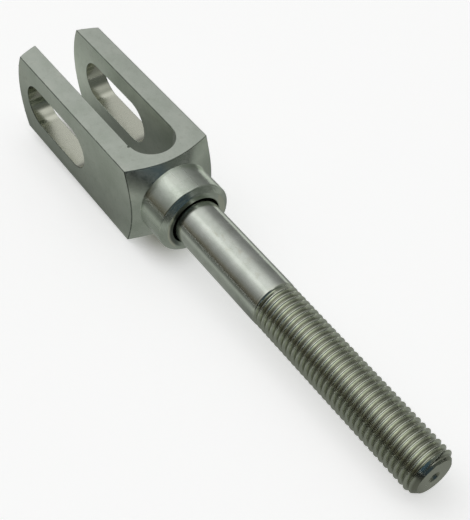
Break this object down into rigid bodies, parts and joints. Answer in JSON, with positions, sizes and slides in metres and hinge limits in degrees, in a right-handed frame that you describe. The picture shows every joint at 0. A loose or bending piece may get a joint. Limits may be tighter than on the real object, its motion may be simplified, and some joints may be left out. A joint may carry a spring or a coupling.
{
  "type": "clevis rod end with swivelling threaded rod",
  "caption": "Square clevis fork with slotted ears and a turned neck, carrying a threaded rod that turns freely in it, for joining a linkage to a pin.",
  "frame": {"origin": "the middle of the box round the whole part, on the rod's axis", "axes": "+X along the rod's axis towards its threaded end, Y across the two ears along the cross pin's direction, +Z out of the fork's open side"},
  "size_m": [0.3006, 0.046, 0.046],
  "materials": {
    "fork_steel": "machined and bright zinc plated",
    "rod_steel": "bright drawn, zinc plated",
    "bush_bronze": "turned bronze",
    "washer_steel": "zinc plated",
    "nut_steel": "zinc plated",
    "pin_steel": "dark spring steel"
  },
  "bodies": {
    "fork": {"fork_body": "fork_steel", "flanged_bush": "bush_bronze"},
    "rod": {"threaded_rod": "rod_steel", "retaining_washer": "washer_steel", "round_nut": "nut_steel", "spring_pin": "pin_steel"}
  },
  "joints": [
    {"name": "rod_swivel", "type": "hinge", "parent": "fork", "child": "rod", "pos_m": [0, 0, 0], "axis": [1, 0, 0], "continuous": true}
  ]
}
